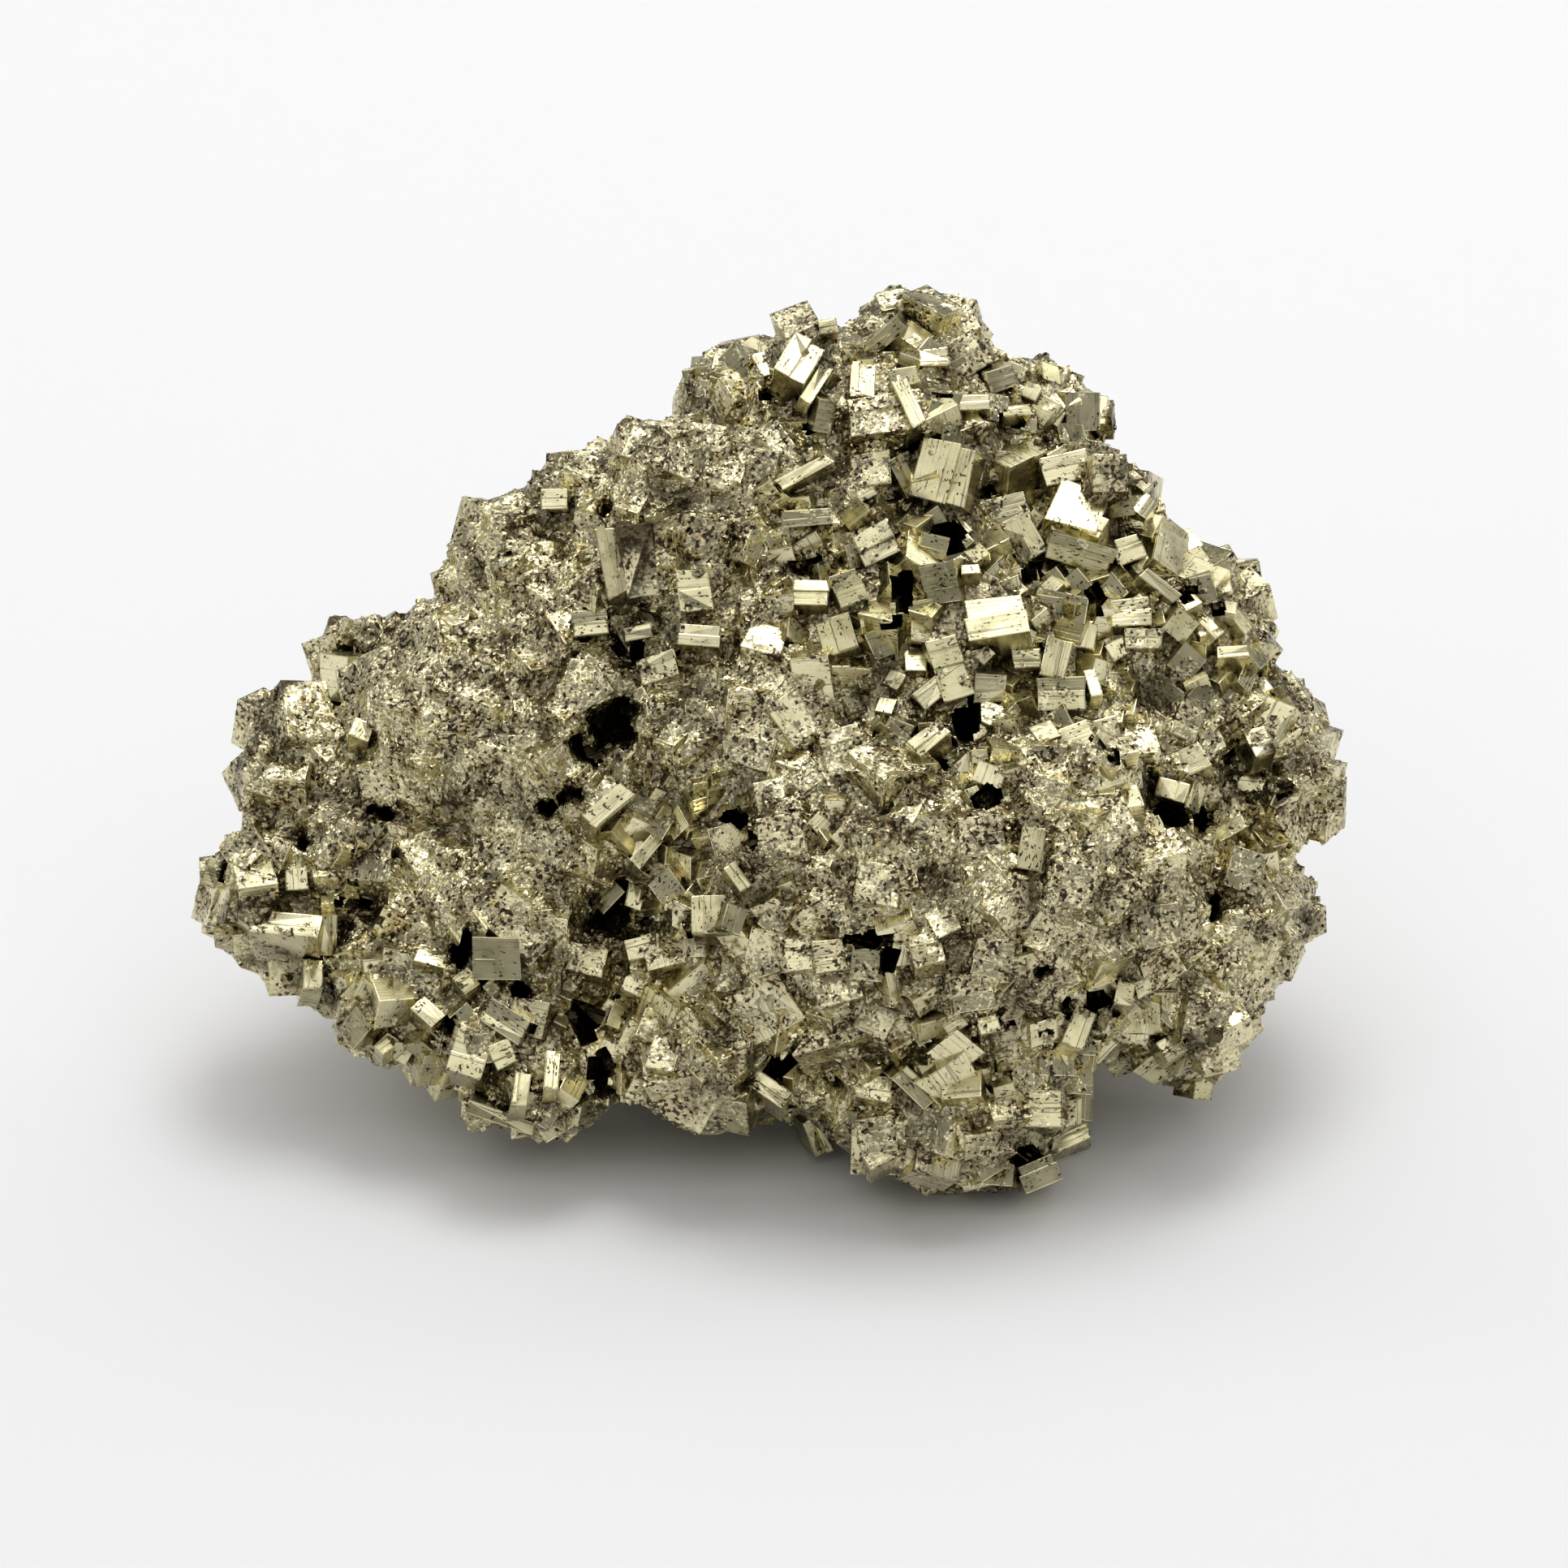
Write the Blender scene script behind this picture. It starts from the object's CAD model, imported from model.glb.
"""Looks of a pyrite specimen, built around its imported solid.

Cube crystals grow out of a rounded mass and into each other. Some are bare, bright and striated, and
others lie under a granular crust of much smaller crystals. Lengths are in metres in the row's frame:
+X to the right as photographed, +Y to the back, +Z up, and the origin under the middle of the specimen.
"""

import math
import random

import bmesh
import bpy
from bpy.props import FloatProperty, FloatVectorProperty, IntProperty, PointerProperty
from mathutils import Matrix, Vector, noise
from mathutils.bvhtree import BVHTree


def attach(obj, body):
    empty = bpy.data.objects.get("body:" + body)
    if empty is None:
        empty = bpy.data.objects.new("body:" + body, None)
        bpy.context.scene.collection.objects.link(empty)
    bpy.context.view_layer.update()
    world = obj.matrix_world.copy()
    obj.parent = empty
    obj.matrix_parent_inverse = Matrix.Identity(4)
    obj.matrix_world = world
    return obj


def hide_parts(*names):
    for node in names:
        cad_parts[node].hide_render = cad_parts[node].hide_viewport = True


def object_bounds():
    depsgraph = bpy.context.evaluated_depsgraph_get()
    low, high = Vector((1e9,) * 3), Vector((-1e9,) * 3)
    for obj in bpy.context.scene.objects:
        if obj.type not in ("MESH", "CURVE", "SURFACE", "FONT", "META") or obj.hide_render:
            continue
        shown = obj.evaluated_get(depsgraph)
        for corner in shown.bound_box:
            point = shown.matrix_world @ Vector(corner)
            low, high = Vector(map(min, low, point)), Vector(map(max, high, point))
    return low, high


bl_info = {
    "name": "Pyrite specimen",
    "version": (1, 0, 0),
    "blender": (4, 5, 0),
    "location": "View3D > Sidebar > Pyrite",
    "description": "Grows a pyrite specimen over its packed solid",
    "category": "Add Mesh",
}

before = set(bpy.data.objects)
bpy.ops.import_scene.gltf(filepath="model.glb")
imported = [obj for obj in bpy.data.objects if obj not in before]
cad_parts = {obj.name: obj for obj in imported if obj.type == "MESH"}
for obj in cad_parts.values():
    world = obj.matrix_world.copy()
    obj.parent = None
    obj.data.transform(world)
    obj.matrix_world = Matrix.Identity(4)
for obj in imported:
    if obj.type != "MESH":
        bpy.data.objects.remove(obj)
CAD_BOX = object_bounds()

MM = 0.001

# The photograph: its side in pixels, the width it shows, and where its middle lies in the row's frame
PHOTO_SIDE = 1932
PHOTO_WIDTH = 86.94 * MM
PHOTO_MIDDLE = Vector((0.75, -3.32, 18.3)) * MM
PIXEL = PHOTO_WIDTH / PHOTO_SIDE
CAMERA_DISTANCE = 0.6
CAMERA_ELEVATION = math.radians(30)
SENSOR_WIDTH = 36.0

# The photograph's own right, up and towards, in the row's frame
RIGHT = Vector((1, 0, 0))
TOWARDS = Vector((0, -math.cos(CAMERA_ELEVATION), math.sin(CAMERA_ELEVATION)))
UP = TOWARDS.cross(RIGHT)
CAMERA_PLACE = PHOTO_MIDDLE + TOWARDS * CAMERA_DISTANCE

# Attributes that the crystals carry into the joined mass
PLACE = "face_place"  # across and along a face's striations in mm, and a random number per crystal
HALF = "face_half"  # half the face's size in mm, the same way round
CRUST = "crust"  # from 0, bare, to 1, under crust
CRYSTAL = "crystal"  # tells one crystal's faces from another's
HEIGHT = "height"  # how far a point stands out of the rounded core, in mm
OUTLINE = "outline"  # from 0 to 1 where the photograph sees the surface edge on
HOLE_SEED = 5
LANDMARK_SEED = 8
LANDMARK_PROUD = 0.45 * MM  # how far a placed crystal's face stands in front of the core
LANDMARK_STEP = 0.1 * MM  # how high the growth step on it is
UNEVENNESS = 0.16  # how far corners stray, as a share of the longest edge
SEEN_DEPTH = -14 * MM  # how far behind the middle of the view the photograph's patches of crust reach
CRUST_PIECES = 4  # side by side, so that each stays light
HOLE_BOXES = [(0.95, 0.55), (0.55, 0.95), (0.7, 0.7)]  # a hole's three boxes, as shares of its size
HOLE_LEAN = 0.35  # the most that a hole's box leans or is off its middle, in radians or half sizes
HOLE_TURN = 0.5  # the most that it is turned past the hole's own turn, in radians
BELOW_FLOOR = 100 * MM  # size of the block that is cut away under the floor

# Growth steps on the faces of a large crystal with edges of 1: each step's size and middle
GROWTH_STEPS = [
    ((1.01, 0.45, 1.06), (0.0, -0.28, 0.0)),
    ((1.06, 1.02, 0.55), (0.0, 0.0, -0.22)),
]

# Where the photograph shows bare crystals (below 0) and crust (above 0):
# centre and radii in pixels, and how strongly
CRUST_PATCHES = [
    ((600, 850), (140, 220), 0.9), ((380, 960), (110, 110), 0.6), ((860, 610), (110, 100), 0.6),
    ((1100, 370), (110, 50), 0.5), ((960, 900), (130, 90), 0.5), ((1180, 1060), (230, 150), 0.12),
    ((1330, 960), (120, 70), 0.15), ((1560, 1120), (90, 150), 0.2), ((640, 1080), (120, 90), 0.9),
    ((870, 1250), (110, 80), 0.2), ((560, 640), (80, 70), 0.7), ((1060, 460), (130, 70), -0.9),
    ((1250, 640), (200, 140), -1.1), ((1080, 780), (170, 90), -0.9), ((1450, 790), (120, 110), -0.6),
    ((820, 1040), (110, 90), -0.8), ((600, 1260), (160, 90), -0.8), ((370, 1110), (120, 80), -0.5),
    ((1180, 890), (90, 60), -0.9), ((1450, 960), (80, 60), -0.8), ((1150, 1330), (180, 100), -0.4),
    ((1400, 1260), (150, 100), -0.4),
]

# Crystals placed as the photograph shows them, the crusted ones more loosely. Each has a corner of its
# plainest face, the two corners next to it (the face is striated towards the first of them), how far
# the face leans to the right and up, the crystal's depth in mm, and its crust
LANDMARKS = [
    ((950, 460), (977, 415), (993, 468), (0.1, 0.55), 2.4, 0),
    ((983, 493), (1010, 450), (1000, 496), (0.25, 0.6), 1.6, 0),
    ((1047, 492), (1050, 450), (1076, 488), (0.15, 0.5), 1.8, 0.1),
    ((1013, 492), (1033, 495), (1000, 530), (0.3, -0.2), 1.6, 0),
    ((1098, 473), (1123, 526), (1117, 468), (0.15, 0.52), 1.8, 0),
    ((1040, 541), (1127, 527), (1057, 492), (-0.05, 0.45), 3, 0.9),
    ((1142, 531), (1122, 602), (1202, 560), (-0.25, 0.22), 3.2, 0),
    ((1183, 487), (1220, 485), (1182, 506), (0, 0.35), 1.4, 0),
    ((1233, 500), (1267, 498), (1237, 514), (0.25, 0.6), 1.2, 0),
    ((1273, 567), (1330, 555), (1297, 597), (0.2, 0.3), 2.2, 0.2),
    ((1205, 620), (1262, 605), (1212, 655), (-0.1, 0.1), 2.6, 0.4),
    ((1332, 628), (1368, 642), (1315, 648), (-0.15, 0.58), 1.8, 0),
    ((1283, 650), (1362, 673), (1300, 690), (0.1, -0.35), 2.2, 0.1),
    ((1395, 628), (1410, 607), (1412, 640), (0.2, 0.55), 1.4, 0),
    ((1363, 670), (1397, 657), (1383, 697), (0.1, 0.15), 1.6, 0),
    ((1363, 740), (1410, 737), (1377, 772), (-0.1, 0.5), 1.8, 0),
    ((1413, 700), (1455, 732), (1405, 712), (0.3, 0.2), 1.2, 0),
    ((1173, 745), (1247, 733), (1208, 788), (-0.1, 0.55), 2.2, 0.05),
    ((1293, 775), (1283, 820), (1320, 803), (0.2, 0.48), 1.6, 0),
    ((1232, 645), (1257, 690), (1268, 636), (-0.1, 0.12), 2, 0.1),
    ((1184, 696), (1205, 695), (1187, 708), (0, 0.58), 0.8, 0),
    ((1137, 698), (1178, 690), (1140, 748), (-0.3, -0.05), 2.2, 0.1),
    ((1135, 655), (1167, 663), (1133, 682), (0.25, -0.1), 1.4, 0),
    ((1052, 660), (1093, 640), (1067, 700), (-0.1, 0.2), 2.4, 0.2),
    ((1018, 712), (1052, 700), (1040, 748), (0.15, 0.25), 2.8, 0),
    ((974, 715), (1018, 716), (982, 745), (-0.05, 0.55), 1.8, 0.1),
    ((957, 592), (1017, 558), (966, 604), (-0.1, 0.35), 2, 0.2),
    ((963, 650), (1020, 645), (966, 630), (0.05, -0.05), 2.4, 0.2),
    ((1095, 568), (1117, 612), (1112, 560), (0.45, 0.05), 2, 0.1),
    ((1050, 560), (1097, 556), (1050, 600), (-0.1, 0.2), 2.6, 0.7),
    ((1142, 792), (1178, 783), (1162, 862), (0.25, 0.3), 2.2, 0),
    ((1200, 830), (1237, 832), (1203, 864), (0.1, -0.3), 2, 0),
    ((1278, 836), (1335, 834), (1280, 876), (0.05, 0.12), 2.4, 0.1),
    ((1247, 802), (1280, 800), (1249, 824), (0.1, 0.2), 1.6, 0),
    ((1338, 826), (1352, 824), (1342, 860), (0.1, 0.58), 1, 0),
    ((1000, 760), (1012, 800), (1048, 765), (-0.2, 0.3), 2.2, 0),
    ((1119, 915), (1155, 888), (1133, 932), (-0.1, 0.55), 1.8, 0),
    ((1125, 855), (1165, 822), (1140, 875), (0.2, 0.05), 2, 0.2),
    ((1425, 972), (1432, 950), (1455, 996), (-0.25, 0.25), 2, 0),
    ((1458, 997), (1470, 965), (1478, 998), (0.3, 0.1), 2, 0.3),
    ((1537, 900), (1562, 892), (1542, 935), (0.15, 0.5), 1.6, 0),
    ((1498, 798), (1535, 795), (1502, 812), (0.2, 0.58), 1.4, 0),
    ((1253, 1070), (1260, 1022), (1282, 1068), (0.1, 0.1), 1.6, 0.1),
    ((1204, 1256), (1228, 1250), (1208, 1276), (0.05, 0.2), 1.4, 0.3),
    ((1256, 1438), (1300, 1420), (1262, 1472), (0.1, 0), 2.4, 0),
    ((1285, 1408), (1335, 1385), (1300, 1422), (0.1, 0.35), 1.6, 0.1),
    ((1328, 1382), (1330, 1315), (1346, 1378), (0.4, 0.05), 1.6, 0),
    ((1262, 1345), (1305, 1345), (1268, 1390), (0.15, 0.15), 2.4, 0.3),
    ((1428, 1284), (1452, 1268), (1436, 1312), (0.1, 0.2), 2, 0.2),
    ((1372, 1208), (1395, 1212), (1378, 1238), (0.1, 0.2), 1.8, 0.2),
    ((1462, 1228), (1510, 1238), (1458, 1276), (0.35, -0.1), 2.2, 0.8),
    ((1478, 1284), (1522, 1274), (1484, 1326), (0.4, -0.25), 2, 0.6),
    ((1180, 1010), (1232, 1002), (1186, 1056), (0.1, 0.1), 2.6, 0.8),
    ((1300, 1060), (1352, 1070), (1292, 1112), (0.2, 0.05), 2.6, 0.8),
    ((1010, 905), (1060, 890), (1022, 960), (-0.15, 0.25), 2.8, 0.8),
    ((905, 885), (958, 900), (893, 935), (-0.25, 0.1), 2.8, 0.7),
    ((1060, 1060), (1112, 1068), (1052, 1110), (-0.05, 0.15), 2.4, 0.7),
    ((930, 1010), (985, 1000), (938, 1062), (-0.15, 0.2), 2.6, 0.8),
    ((1205, 1150), (1250, 1160), (1196, 1200), (0.05, -0.05), 2.2, 0.6),
    ((1400, 1120), (1450, 1112), (1408, 1170), (0.3, 0.1), 2.4, 0.7),
    ((1520, 1040), (1560, 1055), (1508, 1090), (0.5, 0.1), 2.2, 0.6),
    ((1168, 1205), (1218, 1198), (1176, 1250), (0.05, 0), 2.4, 0.7),
    ((1056, 1380), (1098, 1372), (1062, 1424), (-0.05, -0.1), 2.2, 0.8),
    ((1308, 1285), (1325, 1240), (1335, 1295), (0.2, 0.2), 1.8, 0.1),
    ((1122, 1155), (1160, 1148), (1124, 1192), (-0.05, 0.45), 2.2, 0.5),
    ((962, 1158), (998, 1155), (964, 1198), (-0.2, 0.15), 2.2, 0.4),
    ((1004, 1160), (1040, 1155), (1003, 1200), (0.15, 0.1), 2.2, 0.4),
    ((925, 1313), (972, 1345), (918, 1335), (0, 0.3), 2, 0),
    ((1052, 1322), (1095, 1330), (1058, 1352), (0, 0.4), 2, 0.5),
    ((1112, 1308), (1150, 1345), (1105, 1335), (0.25, -0.15), 2, 0.1),
    ((1002, 1418), (985, 1375), (1030, 1425), (0.3, -0.2), 2, 0.1),
    ((1062, 1425), (1100, 1405), (1075, 1440), (0, 0.3), 2.2, 0.6),
    ((833, 767), (882, 770), (842, 795), (-0.15, 0.35), 2.2, 0.1),
    ((733, 652), (750, 735), (757, 648), (-0.35, 0.3), 2.8, 0.1),
    ((762, 645), (775, 735), (800, 640), (0.25, 0.1), 2.6, 0.3),
    ((665, 603), (697, 602), (669, 629), (-0.1, 0.18), 1.8, 0.1),
    ((700, 755), (742, 750), (712, 785), (-0.1, 0.15), 2, 0.2),
    ((785, 815), (830, 800), (792, 845), (-0.3, 0.25), 2.4, 0.6),
    ((830, 705), (868, 700), (845, 755), (-0.1, 0.1), 2.4, 0.3),
    ((768, 775), (800, 768), (773, 790), (0.1, 0.1), 1.6, 0.2),
    ((718, 1005), (765, 965), (735, 1020), (0.05, 0.3), 2.2, 0),
    ((775, 1060), (802, 1028), (790, 1068), (0.15, 0.35), 1.6, 0),
    ((722, 1105), (748, 1078), (745, 1125), (-0.3, 0), 2, 0),
    ((768, 1128), (777, 1082), (792, 1110), (0.15, 0.12), 2.2, 0),
    ((852, 1105), (853, 1149), (896, 1104), (-0.08, 0.28), 2.2, 0),
    ((897, 1110), (888, 1140), (920, 1125), (0.35, 0.05), 2, 0),
    ((890, 1070), (912, 1098), (906, 1064), (0.1, 0.25), 1.4, 0),
    ((770, 1160), (800, 1152), (775, 1185), (0.1, 0.2), 2, 0.1),
    ((700, 1160), (745, 1170), (700, 1195), (-0.05, 0.25), 2.4, 0.5),
    ((395, 1125), (394, 1175), (415, 1130), (0.3, -0.25), 1.8, 0),
    ((296, 1119), (378, 1125), (322, 1150), (-0.1, 0.55), 2.4, 0.1),
    ((374, 1184), (374, 1219), (398, 1183), (0.2, 0.45), 1.8, 0.1),
    ((352, 1096), (350, 1070), (380, 1098), (-0.1, 0.2), 1.6, 0.2),
    ((583, 1155), (638, 1155), (586, 1207), (0.05, -0.12), 2.6, 0),
    ((558, 1206), (577, 1193), (572, 1225), (-0.1, 0.55), 1.4, 0),
    ((605, 1228), (652, 1258), (594, 1258), (-0.05, 0.15), 2.2, 0.1),
    ((600, 1290), (626, 1280), (612, 1318), (0.05, 0.25), 1.4, 0),
    ((560, 1262), (602, 1275), (556, 1320), (-0.1, 0.25), 2.4, 0.2),
    ((630, 1360), (634, 1325), (650, 1358), (0.15, 0.55), 1.6, 0),
    ((670, 1345), (673, 1303), (688, 1335), (0.1, 0.55), 1.4, 0.1),
    ((578, 1354), (655, 1382), (578, 1372), (-0.05, -0.1), 2.2, 0.1),
    ((462, 1288), (476, 1278), (472, 1300), (0.1, 0.55), 1.2, 0),
    ((520, 1225), (545, 1248), (510, 1245), (0.1, 0.45), 1.4, 0.1),
    ((395, 850), (396, 815), (422, 868), (-0.55, 0.1), 2.4, 0),
    ((428, 868), (428, 812), (455, 862), (0.6, -0.1), 2.4, 0),
    ((430, 905), (437, 885), (455, 912), (0.1, 0.55), 1.6, 0.1),
    ((255, 1055), (272, 1060), (250, 1090), (-0.3, 0.1), 2, 0.1),
    ((1105, 390), (1060, 428), (1118, 405), (-0.1, -0.2), 1.8, 0),
    ((1008, 395), (1030, 392), (1010, 412), (0, 0.3), 1.6, 0.3),
    ((1130, 430), (1165, 428), (1135, 452), (0.1, 0.45), 1.8, 0.4),
    ((1210, 460), (1245, 448), (1222, 485), (0.2, -0.1), 2, 0.1),
    ((1290, 560), (1310, 548), (1300, 580), (0.3, 0.2), 1.8, 0.2),
    ((1345, 560), (1385, 560), (1350, 605), (0.2, 0.15), 2.6, 0.7),
    ((1450, 860), (1480, 872), (1446, 905), (0.2, 0.1), 2.4, 0.5),
    ((1385, 775), (1430, 775), (1388, 800), (0.1, 0.2), 2.4, 0.4),
]

# Dark holes between the crystals: middle and half size in pixels, turn in degrees, and depth in mm
HOLES = [
    ((755, 888), (26, 32), 35, 5), ((718, 930), (22, 14), -20, 3.5), ((672, 993), (16, 16), 10, 6),
    ((700, 982), (24, 11), 10, 2.5), ((748, 1132), (34, 14), 30, 5), ((812, 742), (30, 7), -14, 2),
    ((775, 800), (10, 30), 20, 4), ((742, 622), (8, 18), 25, 2), ((690, 668), (9, 24), 25, 3),
    ((568, 1178), (13, 24), 0, 6), ((640, 1215), (14, 12), 0, 5), ((722, 1256), (20, 24), 5, 3),
    ((733, 1318), (12, 26), 0, 4), ((377, 1043), (14, 10), 20, 5), ((470, 1000), (30, 8), 0, 4),
    ((440, 1118), (34, 9), 0, 3.5), ((905, 1008), (14, 16), 30, 6), ((935, 1025), (22, 16), 0, 3),
    ((800, 1135), (16, 10), 0, 5), ((845, 1140), (10, 18), 20, 5), ((765, 1185), (8, 18), 10, 4),
    ((1155, 930), (28, 20), -25, 7), ((1188, 888), (14, 30), 10, 9), ((1218, 982), (22, 14), 25, 6),
    ((1445, 1005), (26, 18), 20, 7), ((1480, 1008), (14, 22), 30, 5), ((1075, 1160), (34, 9), 15, 5),
    ((1098, 1180), (10, 22), 0, 6), ((1285, 1197), (13, 10), -10, 6), ((1318, 1240), (8, 30), 35, 7),
    ((1352, 1240), (12, 30), 0, 4), ((1497, 1125), (10, 26), -25, 6), ((965, 1320), (24, 9), 38, 7),
    ((1130, 1305), (18, 9), 0, 6), ((1128, 1395), (5, 20), 0, 3), ((1222, 1262), (20, 8), 45, 4),
    ((1088, 540), (48, 13), -4, 5), ((1168, 655), (24, 22), 20, 6), ((1215, 620), (8, 30), 25, 5),
    ((945, 490), (6, 26), -12, 5), ((998, 522), (20, 8), 30, 5), ((1165, 485), (14, 8), 0, 4),
    ((1245, 520), (18, 14), 0, 4), ((1290, 548), (16, 7), 0, 5), ((985, 697), (24, 7), 0, 4.5),
    ((1112, 728), (12, 26), 20, 5), ((1100, 765), (12, 8), 0, 6), ((1268, 700), (12, 18), 0, 3.5),
    ((1350, 740), (10, 16), 10, 3.5), ((1460, 728), (14, 10), 20, 5), ((1503, 752), (10, 8), 0, 4),
    ((1370, 935), (7, 16), 10, 3), ((1515, 935), (14, 10), 10, 5), ((1578, 972), (16, 8), -30, 4),
    ((1625, 1015), (6, 14), 20, 3), ((640, 1325), (18, 14), -30, 4), ((655, 1275), (8, 18), 0, 5),
    ((548, 1268), (8, 20), -20, 4), ((402, 1160), (8, 30), 0, 4), ((430, 880), (16, 5), 0, 3),
    ((1290, 1275), (10, 8), 0, 5), ((1268, 1425), (10, 24), 40, 3), ((980, 1368), (14, 6), 0, 4),
    ((745, 1345), (8, 14), 0, 4),
]


def length_setting(name, description, millimetres):
    return FloatProperty(
        name=name, description=description, default=millimetres * MM, unit="LENGTH", precision=5
    )


def power_setting(name, description, watts):
    return FloatProperty(name=name, description=description, default=watts, unit="POWER", min=0)


def colour_setting(name, description, colour):
    return FloatVectorProperty(
        name=name, description=description, default=colour, subtype="COLOR", size=3, min=0, max=1
    )


class CrystalSettings(bpy.types.PropertyGroup):
    """Sizes of the crystals and of the mass that they grow from."""

    core_voxel: length_setting("Core voxel", "How finely the rounded core is divided", 0.8)
    core_inset: length_setting("Core inset", "How far the core lies inside the solid's surface", 0.6)
    large_edge: length_setting("Large crystals", "Longest edge of the large crystals", 4.0)
    medium_edge: length_setting("Medium crystals", "Longest edge of the medium crystals", 2.7)
    small_edge: length_setting("Small crystals", "Longest edge of the small crystals", 1.6)
    crust_voxel: length_setting("Crust voxel", "How finely the crust is divided", 0.3)
    crust_thickness: length_setting("Crust thickness", "How far the crust rises over the crystals", 0.24)
    grain_edge: length_setting("Crust grains", "Longest edge of the grains on the crust", 0.4)
    grain_spacing: length_setting("Grain spacing", "Least distance from one grain to the next", 0.7)
    seed: IntProperty(name="Seed", description="Start of everything random", default=11)


class FinishSettings(bpy.types.PropertyGroup):
    """Reflection colours of the metal and its crust."""

    bright: colour_setting("Bare metal", "Colour of a bare face", (0.84, 0.775, 0.49))
    tarnish: colour_setting("Tarnished metal", "Colour where a face has dulled", (0.50, 0.455, 0.25))
    crust: colour_setting("Crust", "Colour of the crust's grains", (0.55, 0.472, 0.288))
    recess: colour_setting("Recesses", "Colour deep between the crystals", (0.09, 0.07, 0.038))
    pits: colour_setting("Pits", "Colour in the crust's dark pits", (0.07, 0.055, 0.035))


class StageSettings(bpy.types.PropertyGroup):
    """Floor and light."""

    floor: colour_setting("Floor", "Colour of the plain floor", (0.9, 0.9, 0.91))
    overhead: power_setting("Overhead light", "Strength of the large soft light above", 2.3)
    front: power_setting("Front light", "Strength of the dim wide light over the camera", 2.0)
    key: power_setting("Key light", "Strength of the small light above, which makes the glints", 1.3)
    side: power_setting("Side lights", "Strength of the two lights at the sides", 0.45)
    surroundings: FloatProperty(
        name="Surroundings", description="Brightness of the room around", default=0.26, min=0
    )


def arithmetic(operation, reflected=False):
    """A method that adds a Math node. Reflected, the other value comes first."""
    def method(value, other):
        terms = (other, value) if reflected else (value, other)
        return value.graph.math(operation, *terms)
    return method


class Value:
    """An output socket. Arithmetic on it adds Math nodes to its tree."""

    def __init__(self, graph, socket):
        self.graph = graph
        self.socket = socket

    __add__ = __radd__ = arithmetic("ADD")
    __mul__ = __rmul__ = arithmetic("MULTIPLY")
    __sub__ = arithmetic("SUBTRACT")
    __rsub__ = arithmetic("SUBTRACT", reflected=True)
    __truediv__ = arithmetic("DIVIDE")
    __rtruediv__ = arithmetic("DIVIDE", reflected=True)
    __pow__ = arithmetic("POWER")

    def __abs__(self):
        return self.graph.math("ABSOLUTE", self)


class Graph:
    """A node tree, with short ways to add to it."""

    def __init__(self, tree):
        self.tree = tree
        tree.nodes.clear()

    def node(self, kind, settings=None, inputs=None):
        """Adds a node. Its settings come first, then the values or links of its sockets."""
        made = self.tree.nodes.new(kind)
        for name, value in (settings or {}).items():
            setattr(made, name, value)
        for key, value in (inputs or {}).items():
            self.feed(socket_of(made.inputs, key), value)
        return made

    def feed(self, socket, value):
        if isinstance(value, Value):
            self.tree.links.new(value.socket, socket)
        elif isinstance(value, list):
            for each in reversed(value):
                self.tree.links.new(each.socket, socket)
        else:
            socket.default_value = value

    def out(self, made, key=0):
        return Value(self, socket_of(made.outputs, key))

    def get(self, kind, settings=None, inputs=None, key=0):
        return self.out(self.node(kind, settings, inputs), key)

    def math(self, operation, *terms):
        return self.get("ShaderNodeMath", {"operation": operation}, dict(enumerate(terms)))

    def lower(self, a, b):
        return self.math("MINIMUM", a, b)

    def higher(self, a, b):
        return self.math("MAXIMUM", a, b)

    def vector(self, operation, *terms, key="Vector"):
        return self.get("ShaderNodeVectorMath", {"operation": operation}, dict(enumerate(terms)), key)

    def scaled(self, vector, factor):
        return self.get("ShaderNodeVectorMath", {"operation": "SCALE"}, {0: vector, "Scale": factor})

    def parts(self, vector):
        made = self.node("ShaderNodeSeparateXYZ", None, {0: vector})
        return [self.out(made, axis) for axis in range(3)]

    def combined(self, x, y, z):
        return self.get("ShaderNodeCombineXYZ", None, {0: x, 1: y, 2: z})

    def ramp(self, value, low, high):
        """From 0 at low to 1 at high, with soft ends."""
        inputs = {"Value": value, "From Min": low, "From Max": high}
        return self.get("ShaderNodeMapRange", {"interpolation_type": "SMOOTHSTEP"}, inputs)

    def mixed(self, factor, first, second):
        """A colour between two colours."""
        inputs = {"Factor_Float": factor, "A_Color": first, "B_Color": second}
        return self.get("ShaderNodeMix", {"data_type": "RGBA"}, inputs, "Result_Color")

    def blend(self, factor, first, second):
        """A number between two numbers."""
        inputs = {"Factor_Float": factor, "A_Float": first, "B_Float": second}
        return self.get("ShaderNodeMix", {"data_type": "FLOAT"}, inputs, "Result_Float")

    def noise(self, place, scale, detail=2.0, key="Fac"):
        inputs = {"Vector": place, "Scale": scale, "Detail": detail}
        return self.get("ShaderNodeTexNoise", {"noise_dimensions": "3D"}, inputs, key)

    def cells(self, place, scale, distance="CHEBYCHEV"):
        """A node that splits space into cells, and knows their middles and a colour for each."""
        settings = {"voronoi_dimensions": "3D", "feature": "F1", "distance": distance}
        return self.node("ShaderNodeTexVoronoi", settings, {"Vector": place, "Scale": scale})

    def about_zero(self, colour, factor):
        """A vector from a colour, spread evenly about 0."""
        return self.scaled(self.vector("SUBTRACT", colour, (0.5, 0.5, 0.5)), factor)

    def carried(self, name, key="Fac"):
        """What a material reads of a mesh's attribute."""
        return self.get("ShaderNodeAttribute", {"attribute_name": name}, None, key)


def socket_of(sockets, key):
    """A socket by its number, its identifier or its name."""
    if isinstance(key, int):
        return sockets[key]
    for socket in sockets:
        if socket.identifier == key:
            return socket
    return sockets[key]


def rgba(colour):
    return (*colour, 1.0)


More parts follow.
